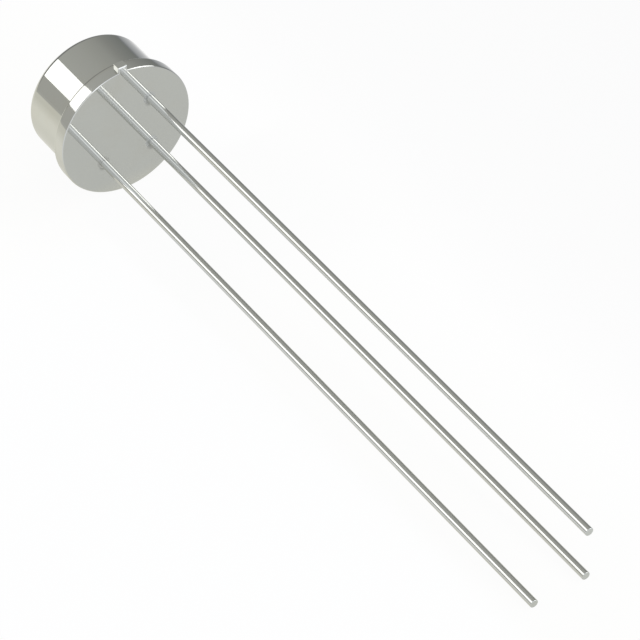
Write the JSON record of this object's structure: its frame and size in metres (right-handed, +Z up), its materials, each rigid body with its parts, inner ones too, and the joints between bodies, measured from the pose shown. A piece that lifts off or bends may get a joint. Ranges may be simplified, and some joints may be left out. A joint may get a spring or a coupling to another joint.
{
  "type": "radio-frequency transistor in a round metal can",
  "caption": "Low round metal can with a flange, an index tab and long parallel wire leads out of its flat underside.",
  "frame": {"origin": "centre of the seating plane, the flat underside of the header", "axes": "+Z up with the part lying at rest on its side, tab up; the leads run towards +X, sloping down by 3.4 degrees; +Y is clockwise from the tab for someone who looks at the leads"},
  "size_m": [0.0498, 0.0094, 0.0098],
  "materials": {
    "can_plate": "bright smooth nickel plate",
    "header_plate": "satin nickel plate",
    "lead_plate": "bright tinned wire",
    "seal_glass": "grey-green sealing glass, opaque",
    "braze": "dull silver braze",
    "molybdenum": "gold-flashed molybdenum",
    "gold_solder": "smooth gold solder",
    "silicon": "polished, opaque",
    "chip_metal": "evaporated film",
    "bond_wire": "drawn fine wire"
  },
  "bodies": {
    "root": {"can": "can_plate", "header": "header_plate", "glass_seal_emitter": "seal_glass", "glass_seal_base": "seal_glass", "emitter_lead": "lead_plate", "base_lead": "lead_plate", "collector_lead": "lead_plate", "collector_braze": "braze", "heat_spreader": "molybdenum", "die_attach": "gold_solder", "silicon_die": "silicon", "emitter_comb": "chip_metal", "base_comb": "chip_metal", "emitter_bond_wire_1": "bond_wire", "emitter_bond_wire_2": "bond_wire", "base_bond_wire": "bond_wire"}
  },
  "joints": []
}
